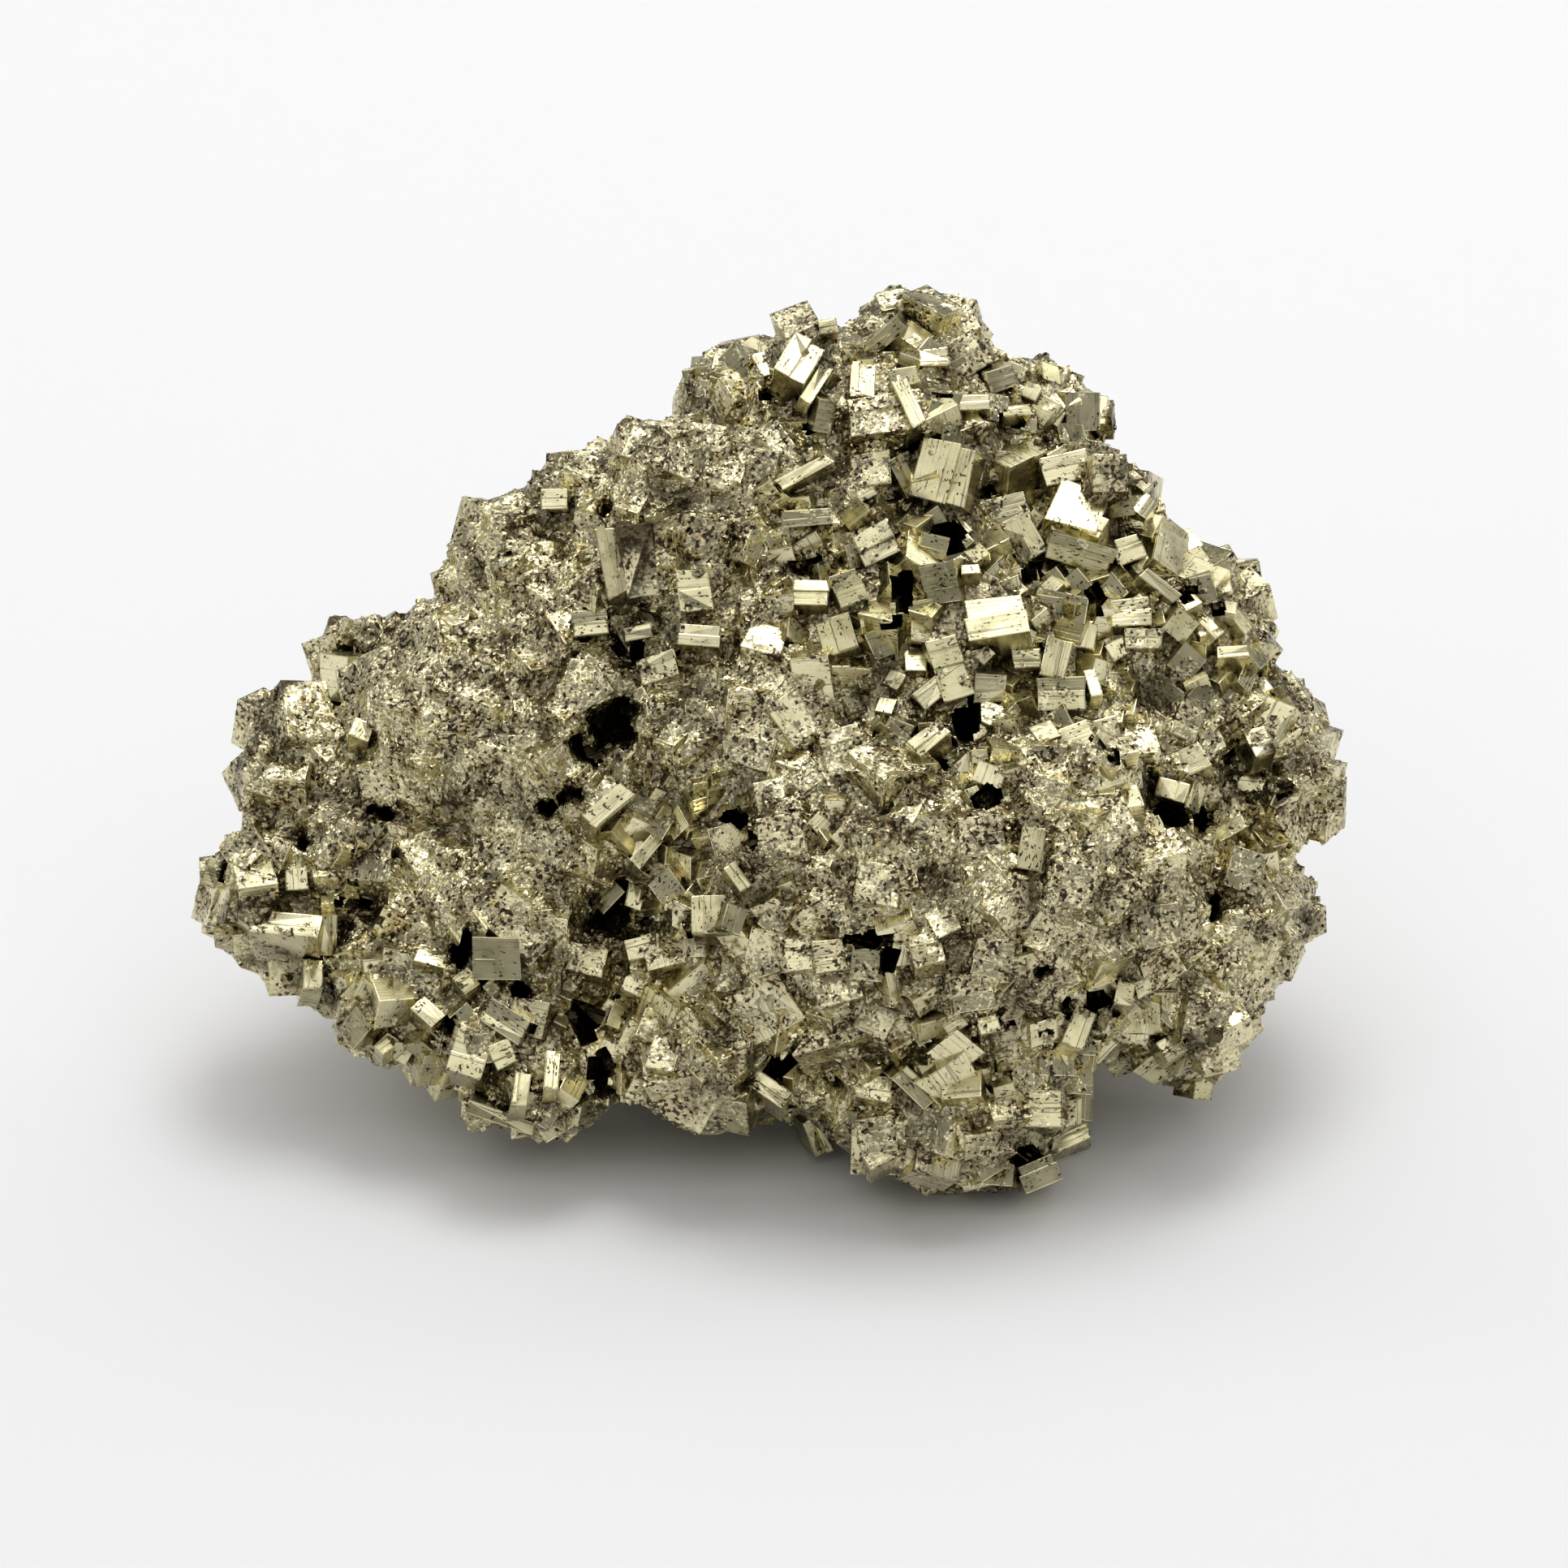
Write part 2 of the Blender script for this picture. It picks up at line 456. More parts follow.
def photo_point(x, y):
    """The point of a photograph's pixel in the plane through the middle of the view."""
    half = PHOTO_SIDE / 2
    return PHOTO_MIDDLE + RIGHT * ((x - half) * PIXEL) + UP * ((half - y) * PIXEL)


def new_object(name, data):
    made = bpy.data.objects.new(name, data)
    bpy.context.scene.collection.objects.link(made)
    return made


def settle(made):
    """Keeps what an object's modifiers give as its plain mesh, and drops them."""
    graph = bpy.context.evaluated_depsgraph_get()
    mesh = bpy.data.meshes.new_from_object(made.evaluated_get(graph), depsgraph=graph)
    made.modifiers.clear()
    old = made.data
    made.data = mesh
    bpy.data.meshes.remove(old)


def grow(made, tree, inputs):
    """Runs a geometry tree over an object."""
    modifier = made.modifiers.new(tree.name, "NODES")
    modifier.node_group = tree
    for item in tree.interface.items_tree:
        if item.item_type == "SOCKET" and item.in_out == "INPUT" and item.name in inputs:
            modifier[item.identifier] = inputs[item.name]
    settle(made)


def divided_object(name, mesh, voxel, softening=0):
    """An object of a mesh, divided finely and evenly, then softened by a number of steps."""
    made = new_object(name, mesh)
    remesh = made.modifiers.new("remesh", "REMESH")
    remesh.mode = "VOXEL"
    remesh.voxel_size = voxel
    if softening:
        soften = made.modifiers.new("soften", "SMOOTH")
        soften.factor = 0.5
        soften.iterations = softening
    settle(made)
    return made


# The rounded core

def merged_solid():
    """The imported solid's mesh with its corners joined."""
    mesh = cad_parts["pyrite_cluster"].data.copy()
    shape = bmesh.new()
    shape.from_mesh(mesh)
    bmesh.ops.remove_doubles(shape, verts=shape.verts, dist=0.001 * MM)
    shape.to_mesh(mesh)
    shape.free()
    mesh.materials.clear()
    return mesh


def outline_at(normal):
    """From 0 to 1 as the surface turns edge on in the photograph, where it looks worn and crusted."""
    return max(0.0, 1.0 - abs(normal.dot(TOWARDS)) / 0.6) ** 0.7


def crust_at(point, normal):
    """How far a point of the surface lies under crust, from its place in the photograph."""
    offset = point - PHOTO_MIDDLE
    x = PHOTO_SIDE / 2 + offset.dot(RIGHT) / PIXEL
    y = PHOTO_SIDE / 2 - offset.dot(UP) / PIXEL
    amount = 0.08 + 0.9 * noise.noise(point / (4.5 * MM)) + 0.7 * noise.noise(point / (1.9 * MM))
    if offset.dot(TOWARDS) > SEEN_DEPTH:
        for (cx, cy), (rx, ry), strength in CRUST_PATCHES:
            distance = ((x - cx) / rx) ** 2 + ((y - cy) / ry) ** 2
            amount += strength * math.exp(-distance)
    amount += 0.35 * outline_at(normal)
    return min(max(0.5 + amount, 0.0), 1.0)


def core_object(settings):
    """A finely divided, softened copy of the solid, which knows where crust and outline lie."""
    core = divided_object("pyrite_mass", merged_solid(), settings.core_voxel, softening=3)
    crust = [crust_at(vertex.co, vertex.normal) for vertex in core.data.vertices]
    outline = [outline_at(vertex.normal) for vertex in core.data.vertices]
    for name, values in ((CRUST, crust), (OUTLINE, outline)):
        core.data.attributes.new(name, "FLOAT", "POINT").data.foreach_set("value", values)
    return core


def shrink(mesh, inset):
    """Moves a mesh's corners inwards."""
    moved = [vertex.co - vertex.normal * inset for vertex in mesh.vertices]
    for vertex, place in zip(mesh.vertices, moved):
        vertex.co = place


def drop_flakes(mesh):
    """Removes pairs of faces that lie back to back on the same corners, with nothing between them."""
    pairs = {}
    for face in mesh.polygons:
        pairs.setdefault(frozenset(face.vertices), []).append(face.index)
    shape = bmesh.new()
    shape.from_mesh(mesh)
    shape.faces.ensure_lookup_table()
    flakes = [shape.faces[index] for pair in pairs.values() if len(pair) > 1 for index in pair]
    bmesh.ops.delete(shape, geom=flakes, context="FACES")
    shape.to_mesh(mesh)
    shape.free()


# What is placed from the photograph

def pixel_direction(start, end):
    """The way and length, in the plane of the photograph, from one pixel to another."""
    return photo_point(*end) - photo_point(*start)


def surface_under(surface, x, y):
    """The point of the surface that a pixel shows, or else the nearest depth beside it."""
    along = (photo_point(x, y) - CAMERA_PLACE).normalized()
    hit = surface.ray_cast(CAMERA_PLACE, along)[0]
    if hit is None:
        nearest = surface.find_nearest(photo_point(x, y))[0]
        reach = (CAMERA_PLACE - nearest).dot(TOWARDS) / -along.dot(TOWARDS)
        hit = CAMERA_PLACE + along * reach
    return hit, along


def box_axes(first, second, lean):
    """A box's three axes from two sides of its front face as they look, and the way the face leans."""
    outward = (RIGHT * lean[0] + UP * lean[1] + TOWARDS).normalized()
    first = first - TOWARDS * (first.dot(outward) / TOWARDS.dot(outward))
    second = second - TOWARDS * (second.dot(outward) / TOWARDS.dot(outward))
    side = outward.cross(first).normalized()
    return first, side * abs(second.dot(side)), outward


class Boxes:
    """Gathers boxes in one mesh, whose corners know their place on their face."""

    def __init__(self, seed):
        self.chance = random.Random(seed)
        self.points = []
        self.faces = []
        self.places = []
        self.halves = []
        self.crusts = []
        self.numbers = []

    def add(self, middle, axes, tone, crust, stray=0.0):
        """Adds a box, given its middle and its three whole edges. Its corners stray by a share of them."""
        sizes = [axis.length / MM for axis in axes]
        first_point = len(self.points)
        signs = [(x, y, z) for x in (-0.5, 0.5) for y in (-0.5, 0.5) for z in (-0.5, 0.5)]
        for sign in signs:
            uneven = [part + self.chance.uniform(-stray, stray) for part in sign]
            self.points.append(middle + sum((axis * part for axis, part in zip(axes, uneven)), Vector()))
        for facing in range(3):
            across = (facing + 2) % 3
            along = (facing + 1) % 3
            for side in (-0.5, 0.5):
                corners = [(-0.5, -0.5), (0.5, -0.5), (0.5, 0.5), (-0.5, 0.5)]
                if side < 0:
                    corners.reverse()
                face = []
                for along_part, across_part in corners:
                    sign = [0.0, 0.0, 0.0]
                    sign[facing], sign[along], sign[across] = side, along_part, across_part
                    face.append(first_point + signs.index(tuple(sign)))
                    self.places.extend((across_part * sizes[across], along_part * sizes[along], tone))
                    self.halves.extend((sizes[across] / 2, sizes[along] / 2, 0.0))
                    self.crusts.append(crust)
                self.faces.append(face)
                self.numbers.append(first_point)

    def mesh(self, name):
        made = bpy.data.meshes.new(name)
        made.from_pydata(self.points, [], self.faces)
        attributes = made.attributes
        attributes.new(PLACE, "FLOAT_VECTOR", "CORNER").data.foreach_set("vector", self.places)
        attributes.new(HALF, "FLOAT_VECTOR", "CORNER").data.foreach_set("vector", self.halves)
        attributes.new(CRUST, "FLOAT", "CORNER").data.foreach_set("value", self.crusts)
        attributes.new(CRYSTAL, "INT", "FACE").data.foreach_set("value", self.numbers)
        return made


def landmark_object(surface):
    """The crystals placed from the photograph, standing a little out of the core."""
    boxes = Boxes(LANDMARK_SEED)
    chance = boxes.chance
    for corner, first_end, second_end, lean, depth, crust in LANDMARKS:
        first = pixel_direction(corner, first_end)
        second = pixel_direction(corner, second_end)
        x = (first_end[0] + second_end[0]) / 2
        y = (first_end[1] + second_end[1]) / 2
        hit, along = surface_under(surface, x, y)
        first, second, outward = box_axes(first, second, lean)
        inward = outward * (1.3 * depth * MM)
        middle = hit - along * LANDMARK_PROUD - inward / 2
        tone = chance.random()
        boxes.add(middle, (first, second, inward), tone, crust, 0.05)
        share = chance.uniform(0.3, 0.7)
        shift = second * chance.choice((-0.5, 0.5)) * (1.0 - share)
        slab = (first * 1.02, second * share, inward + outward * (2 * LANDMARK_STEP))
        boxes.add(middle + shift, slab, tone, crust, 0.02)
    return new_object("landmarks", boxes.mesh("landmarks"))


def hole_object(surface):
    """The room that the dark holes take, and everything that lies below the floor."""
    boxes = Boxes(HOLE_SEED)
    chance = boxes.chance
    outside = 5 * MM
    for (x, y), (half_width, half_height), turn, depth in HOLES:
        hit, along = surface_under(surface, x, y)
        for share_wide, share_high in HOLE_BOXES:
            lean = Matrix.Rotation(chance.uniform(-HOLE_LEAN, HOLE_LEAN), 3, RIGHT)
            sway = Matrix.Rotation(chance.uniform(-HOLE_LEAN, HOLE_LEAN), 3, UP)
            angle = math.radians(turn) + chance.uniform(-HOLE_TURN, HOLE_TURN)
            turned = lean @ sway @ Matrix.Rotation(angle, 3, TOWARDS)
            length = outside + depth * MM * chance.uniform(0.7, 1.1)
            shift = RIGHT * (half_width * chance.uniform(-HOLE_LEAN, HOLE_LEAN))
            shift = (shift + UP * (half_height * chance.uniform(-HOLE_LEAN, HOLE_LEAN))) * PIXEL
            middle = hit + shift + along * (length / 2 - outside)
            wide = turned @ RIGHT * (2 * half_width * share_wide * PIXEL)
            high = turned @ UP * (2 * half_height * share_high * PIXEL)
            boxes.add(middle, (wide, high, turned @ TOWARDS * length), chance.random(), 0.0, 0.04)
    edges = [axis * BELOW_FLOOR for axis in Matrix.Identity(3)]
    boxes.add(Vector((0, 0, -BELOW_FLOOR / 2)), edges, 0.5, 1.0)
    return new_object("holes", boxes.mesh("holes"))


# Trees that grow crystals

def new_tree(name, **labels):
    """A geometry tree with inputs of each kind by name. Returns its graph and its inputs."""
    tree = bpy.data.node_groups.new(name, "GeometryNodeTree")
    kinds = {"Geometry": "Geometry"}
    for kind, names in labels.items():
        kinds.update(dict.fromkeys(names, kind))
    for label, kind in kinds.items():
        tree.interface.new_socket(label, in_out="INPUT", socket_type="NodeSocket" + kind)
    tree.interface.new_socket("Geometry", in_out="OUTPUT", socket_type="NodeSocketGeometry")
    graph = Graph(tree)
    group_input = graph.node("NodeGroupInput")
    return graph, {label: graph.out(group_input, label) for label in kinds}


def attribute(graph, name, kind="FLOAT"):
    return graph.get("GeometryNodeInputNamedAttribute", {"data_type": kind}, {"Name": name}, "Attribute")


def stored(graph, geometry, name, value, domain="CORNER", kind="FLOAT"):
    settings = {"data_type": kind, "domain": domain}
    inputs = {"Geometry": geometry, "Name": name, "Value": value}
    return graph.get("GeometryNodeStoreNamedAttribute", settings, inputs)


def object_geometry(graph, chosen):
    return graph.get("GeometryNodeObjectInfo", None, {"Object": chosen}, "Geometry")


def distance_to(graph, target):
    return graph.get("GeometryNodeProximity", {"target_element": "FACES"}, {"Geometry": target}, "Distance")


def height_over(graph, core):
    """How far here stands out of the core, in mm, or below 0 how deep it lies inside."""
    nearest = graph.get("GeometryNodeProximity", {"target_element": "FACES"}, {"Geometry": core}, "Position")
    away = graph.vector("SUBTRACT", graph.get("GeometryNodeInputPosition"), nearest)
    outward = sampled(graph, core, graph.get("GeometryNodeInputNormal"), "FLOAT_VECTOR")
    return graph.vector("DOT_PRODUCT", away, outward, key="Value") / MM


def recessed(graph, height):
    """From 0, standing out, to 1 between the feet of the crystals, for a height in mm."""
    return 1.0 - graph.ramp(height, 0.0, 1.0)


def sampled(graph, mesh, value, kind="FLOAT"):
    """A value of a mesh, read at the point of its surface nearest to here."""
    inputs = {"Mesh": mesh, "Value": value}
    return graph.get("GeometryNodeSampleNearestSurface", {"data_type": kind}, inputs, "Value")


def random_number(graph, low, high, seed):
    inputs = {"Min_001": low, "Max_001": high, "Seed": seed}
    return graph.get("FunctionNodeRandomValue", {"data_type": "FLOAT"}, inputs, "Value_001")


def random_vector(graph, low, high, seed):
    inputs = {"Min": (low,) * 3, "Max": (high,) * 3, "Seed": seed}
    return graph.get("FunctionNodeRandomValue", {"data_type": "FLOAT_VECTOR"}, inputs, "Value")


def unit_cube(graph, steps):
    """A cube with growth steps, given as boxes' sizes and middles. Its corners know how their face looks."""
    cube = graph.get("GeometryNodeMeshCube", None, {"Size": (1, 1, 1)})
    slabs = []
    for size, middle in steps:
        slab = graph.get("GeometryNodeMeshCube", None, {"Size": size})
        slabs.append(graph.get("GeometryNodeTransform", None, {"Geometry": slab, "Translation": middle}))
    if slabs:
        cube = joined(graph, [cube, *slabs])
    cube = stored(graph, cube, "face_axis", graph.get("GeometryNodeInputNormal"), kind="FLOAT_VECTOR")
    place = graph.get("GeometryNodeInputPosition")
    return stored(graph, cube, "cube_place", place, kind="FLOAT_VECTOR")


def across_and_along(graph, axis, vector):
    """What a vector measures across and along the striations of the face that looks along axis.

    Neighbouring faces of a pyrite cube are striated at right angles to each other.
    """
    x, y, z = graph.parts(vector)
    across = graph.vector("DOT_PRODUCT", axis, graph.combined(z, x, y), key="Value")
    along = graph.vector("DOT_PRODUCT", axis, graph.combined(y, z, x), key="Value")
    return across, along


def scattered(graph, mesh, spacing, density, factor, seed):
    """A node that strews points over a mesh, none nearer to the next than the spacing."""
    return graph.node("GeometryNodeDistributePointsOnFaces", {"distribute_method": "POISSON"}, {
        "Mesh": mesh,
        "Distance Min": spacing,
        "Density Max": density,
        "Density Factor": factor,
        "Seed": seed,
    })


def rotation_of(graph, angles):
    return graph.get("FunctionNodeEulerToRotation", None, {0: angles})


def set_on(graph, points, piece, rotation, size):
    """Sets a piece on each point."""
    inputs = {"Points": points, "Instance": piece, "Rotation": rotation, "Scale": size}
    return graph.get("GeometryNodeInstanceOnPoints", None, inputs)


def realized(graph, geometry):
    return graph.get("GeometryNodeRealizeInstances", None, {"Geometry": geometry})


def shifted(graph, geometry, offset):
    return graph.get("GeometryNodeSetPosition", None, {"Geometry": geometry, "Offset": offset})


def finish_tree(graph, geometry, material):
    """Ends a tree with plain mesh of one material."""
    inputs = {"Geometry": realized(graph, geometry), "Material": material}
    graph.node("NodeGroupOutput", None, {0: graph.get("GeometryNodeSetMaterial", None, inputs)})
    return graph.tree


def crystal_layer_tree(name, steps):
    """Scatters cubes of one range of sizes, many of them turned alike with their neighbours."""
    floats = ["Least edge", "Most edge", "Spacing", "Per square metre", "Sunk", "Turned freely", "Patch size"]
    graph, given = new_tree(name, Float=floats, Int=["Seed"], Object=["Landmarks"])
    seed = given["Seed"]
    least, most = given["Least edge"], given["Most edge"]
    clear = most * 0.14
    room = graph.ramp(distance_to(graph, object_geometry(graph, given["Landmarks"])), clear, clear * 2.0)
    room = room * (1.0 - 0.15 * attribute(graph, CRUST))
    density = given["Per square metre"]
    scatter = scattered(graph, given["Geometry"], given["Spacing"], density, room, seed)
    points = graph.out(scatter, "Points")
    points = stored(graph, points, "outward", graph.out(scatter, "Normal"), "POINT", "FLOAT_VECTOR")
    place = graph.get("GeometryNodeInputPosition")
    patch = graph.out(graph.cells(place, 1.0 / given["Patch size"], "EUCLIDEAN"), "Color")
    free_turn = random_vector(graph, 0.0, 2 * math.pi, seed + 1.0)
    is_free = graph.math("LESS_THAN", random_number(graph, 0.0, 1.0, seed + 2.0), given["Turned freely"])
    kept = graph.scaled(graph.scaled(patch, 2 * math.pi), 1.0 - is_free)
    base = rotation_of(graph, graph.vector("ADD", kept, graph.scaled(free_turn, is_free)))
    jitter = rotation_of(graph, random_vector(graph, -0.09, 0.09, seed + 3.0))
    rotation = graph.get(
        "FunctionNodeRotateRotation", {"rotation_space": "LOCAL"}, {"Rotation": base, "Rotate By": jitter}
    )
    share = random_number(graph, 0.0, 1.0, seed + 4.0) ** 1.7
    edge = least + share * (most - least)
    size = graph.scaled(random_vector(graph, 0.84, 1.14, seed + 5.0), edge)
    points = stored(graph, points, "edge", edge, "POINT")
    outward = attribute(graph, "outward", "FLOAT_VECTOR")
    sink = attribute(graph, "edge") * (given["Sunk"] + 0.2 * attribute(graph, OUTLINE)) * -1.0
    points = shifted(graph, points, graph.scaled(outward, sink))
    instances = set_on(graph, points, unit_cube(graph, steps), rotation, size)
    instances = stored(graph, instances, "size", size, "INSTANCE", "FLOAT_VECTOR")
    tone = random_number(graph, 0.0, 1.0, seed + 6.0)
    instances = stored(graph, instances, "tone", tone, "INSTANCE")
    index = graph.get("GeometryNodeInputIndex")
    instances = stored(graph, instances, CRYSTAL, index, "INSTANCE", "INT")
    crystals = with_face_measures(graph, realized(graph, instances))
    sway = graph.noise(graph.scaled(place, 1 / MM), 0.45, 1.0, "Color")
    crystals = shifted(graph, crystals, graph.about_zero(sway, most * UNEVENNESS))
    graph.node("NodeGroupOutput", None, {0: split_crystals(graph, crystals)})
    return graph.tree


def with_face_measures(graph, geometry):
    """Works out each face's striation measures and stores them on the corners."""
    axis = graph.vector("ABSOLUTE", attribute(graph, "face_axis", "FLOAT_VECTOR"))
    size = graph.scaled(attribute(graph, "size", "FLOAT_VECTOR"), 1 / MM)
    place = graph.vector("MULTIPLY", attribute(graph, "cube_place", "FLOAT_VECTOR"), size)
    across, along = across_and_along(graph, axis, place)
    half_across, half_along = across_and_along(graph, axis, graph.scaled(size, 0.5))
    tone = attribute(graph, "tone")
    geometry = stored(graph, geometry, PLACE, graph.combined(across, along, tone), kind="FLOAT_VECTOR")
    half = graph.combined(half_across, half_along, 0.0)
    geometry = stored(graph, geometry, HALF, half, kind="FLOAT_VECTOR")
    return stored(graph, geometry, CRUST, attribute(graph, CRUST))


def removed(graph, geometry, *names):
    for name in names:
        geometry = graph.get("GeometryNodeRemoveAttribute", None, {"Geometry": geometry, "Name": name})
    return geometry


def split_crystals(graph, solid):
    """Makes each crystal an instance of its own, so that a join takes them as separate solids."""
    inputs = {"Geometry": solid, "Group ID": attribute(graph, CRYSTAL, "INT")}
    return graph.get("GeometryNodeSplitToInstances", {"domain": "FACE"}, inputs)


def joined(graph, pieces):
    settings = {"operation": "UNION", "solver": "MANIFOLD"}
    return graph.get("GeometryNodeMeshBoolean", settings, {"Mesh 2": pieces})


def joined_mass_tree(stepped_layer, plain_layer):
    """Grows three layers of crystals on the core, cuts the holes, adds the landmarks, and joins them."""
    graph, given = new_tree(
        "Joined mass", Float=["Large edge", "Medium edge", "Small edge"], Int=["Seed"],
        Object=["Landmarks", "Holes"], Material=["Metal"],
    )
    core = given["Geometry"]
    layers = [
        # longest edge, shortest as a share of it, spacing and density for it, share turned freely, patch
        (given["Large edge"], 0.6, 0.78, 2.6, 0.27, 0.5, 7.0),
        (given["Medium edge"], 0.55, 0.62, 2.4, 0.1, 0.4, 5.5),
        (given["Small edge"], 0.5, 0.52, 2.2, 0.05, 0.45, 4.0),
    ]
    pieces = []
    for number, (most, least_share, spacing, crowd, sunk, free, patch) in enumerate(layers):
        layer_tree = stepped_layer if number == 0 else plain_layer
        layer = graph.node("GeometryNodeGroup", {"node_tree": layer_tree}, {
            "Geometry": core,
            "Least edge": most * least_share,
            "Most edge": most,
            "Spacing": most * spacing,
            "Per square metre": crowd / (most * most),
            "Sunk": sunk,
            "Turned freely": free,
            "Patch size": patch * MM,
            "Seed": given["Seed"] + 100.0 * number,
            "Landmarks": given["Landmarks"],
        })
        pieces.append(graph.out(layer))
    core = stored(graph, core, PLACE, (0.0, 0.0, 0.5), kind="FLOAT_VECTOR")
    core = stored(graph, core, HALF, (0.0, 0.0, 0.0), kind="FLOAT_VECTOR")
    core = stored(graph, core, CRUST, 1.0)
    whole = joined(graph, [core, *pieces])
    landmarks = split_crystals(graph, object_geometry(graph, given["Landmarks"]))
    holes = split_crystals(graph, object_geometry(graph, given["Holes"]))
    whole = graph.get(
        "GeometryNodeMeshBoolean", {"operation": "DIFFERENCE", "solver": "MANIFOLD"},
        {"Mesh 1": whole, "Mesh 2": [holes]},
    )
    whole = joined(graph, [whole, landmarks])
    whole = removed(graph, whole, "outward", "edge", "size", "tone", "face_axis", "cube_place")
    whole = realized(graph, removed(graph, whole, CRYSTAL, OUTLINE))
    whole = stored(graph, whole, HEIGHT, height_over(graph, given["Geometry"]), "POINT")
    return finish_tree(graph, whole, given["Metal"])


# Materials

def crust_look(graph, finish, spot):
    """The crust's colour, roughness and the tilt of its grains, with dark pits and blotches."""
    grain = graph.cells(spot, 5.5)
    tint = graph.out(grain, "Color")
    from_middle = graph.vector("SUBTRACT", spot, graph.out(grain, "Position"))
    lump = graph.out(graph.cells(spot, 1.1), "Color")
    tilt = graph.vector("ADD", graph.about_zero(tint, 0.65), graph.scaled(from_middle, 1.2))
    tilt = graph.vector("ADD", tilt, graph.about_zero(lump, 0.5))
    patches = graph.noise(spot, 0.55, 2.0)
    pits = graph.ramp(graph.noise(spot, 3.8, 1.0) + (patches - 0.5) * 0.5, 0.35, 0.42)
    shade = graph.parts(tint)
    pale = graph.lower(graph.ramp(shade[0], 0.2, 1.0) * 0.5 + graph.ramp(patches, 0.42, 0.58) * 0.6, 1.0)
    colour = graph.mixed(pale, rgba(finish.crust), rgba(finish.bright))
    colour = graph.mixed(pits, rgba(finish.pits), colour)
    roughness = 0.14 + 0.24 * shade[1]
    return colour, roughness, tilt


def bare_look(graph, finish, spot):
    """A bare face's colour, roughness and bumped normal: fine lines, growth steps, specks, worn rims."""
    across, along, tone = graph.parts(graph.carried(PLACE, "Vector"))
    half_across, half_along, _ = graph.parts(graph.carried(HALF, "Vector"))
    rim = graph.lower(half_across - abs(across), half_along - abs(along))
    stripe_place = graph.combined(across, along * 0.025, tone * 60.0)
    fine = graph.noise(stripe_place, 6.5, 1.0)
    steps = graph.math("SNAP", graph.noise(stripe_place, 0.9, 0.0), 0.1)
    height = fine * 0.25 + steps * 2.2 + graph.ramp(rim, 0.0, 0.06) * 0.5
    normal = graph.get(
        "ShaderNodeBump", None, {"Strength": 0.6, "Distance": 0.06 * MM, "Height": height}, "Normal"
    )
    lines = graph.ramp(fine, 0.32, 0.38)
    wear = graph.noise(spot, 0.8, 2.0)
    brightness = graph.lower(graph.ramp(tone, 0.0, 0.8) * 0.7 + graph.ramp(wear, 0.38, 0.6) * 0.4, 1.0)
    colour = graph.mixed(brightness, rgba(finish.tarnish), rgba(finish.bright))
    speck_place = graph.combined(across * 1.6, along * 0.8, tone * 50.0)
    specks = graph.ramp(graph.noise(speck_place, 4.5, 2.0) + (wear - 0.5) * 0.4, 0.33, 0.37)
    colour = graph.mixed(graph.lower(specks, 0.5 + 0.5 * lines), rgba(finish.pits), colour)
    roughness = 0.14 + 0.2 * wear + 0.1 * (1.0 - lines)
    return colour, roughness, normal


def finished_material(graph, finish, spot, colour, roughness, normal):
    """Darkens what lies deep between the crystals, and makes metal of the rest."""
    grime = (graph.noise(spot, 1.3, 2.0) - 0.5) * 0.9 + (graph.noise(spot, 0.28, 2.0) - 0.5) * 1.6
    lit = graph.ramp(graph.carried(HEIGHT) + grime, -0.65, 0.9)
    colour = graph.mixed(lit, rgba(finish.recess), colour)
    normal = graph.vector("NORMALIZE", normal)
    inputs = {"Base Color": colour, "Metallic": 1.0, "Roughness": roughness, "Normal": normal}
    shader = graph.get("ShaderNodeBsdfPrincipled", None, inputs)
    graph.node("ShaderNodeOutputMaterial", None, {"Surface": shader})


def new_material(name):
    """A material, its graph, and the place in mm that it colours."""
    material = bpy.data.materials.new(name)
    material.use_nodes = True
    graph = Graph(material.node_tree)
    return material, graph, graph.scaled(graph.get("ShaderNodeTexCoord", None, None, "Object"), 1 / MM)


def metal_material(finish):
    """Bare crystal faces, which go over into crust where the crust lies."""
    material, graph, spot = new_material("Pyrite")
    crust = graph.carried(CRUST) + recessed(graph, graph.carried(HEIGHT)) * 0.4
    covered = graph.ramp(crust + (graph.noise(spot, 0.9, 3.0) - 0.5) * 2.4, 0.36, 0.48)
    crust_colour, crust_roughness, tilt = crust_look(graph, finish, spot)
    bare_colour, bare_roughness, bare_normal = bare_look(graph, finish, spot)
    colour = graph.mixed(covered, bare_colour, crust_colour)
    roughness = graph.blend(covered, bare_roughness, crust_roughness)
    normal = graph.vector("ADD", bare_normal, graph.scaled(tilt, covered * 0.7))
    finished_material(graph, finish, spot, colour, roughness, normal)
    return material


def crust_material(finish):
    material, graph, spot = new_material("Pyrite crust")
    colour, roughness, tilt = crust_look(graph, finish, spot)
    normal = graph.vector("ADD", graph.get("ShaderNodeNewGeometry", None, None, "Normal"), tilt)
    finished_material(graph, finish, spot, colour, roughness, normal)
    return material


# The crust

def dropped(graph, geometry, selection):
    """A mesh without the selected faces."""
    inputs = {"Geometry": geometry, "Selection": selection}
    return graph.get("GeometryNodeDeleteGeometry", {"domain": "FACE"}, inputs)


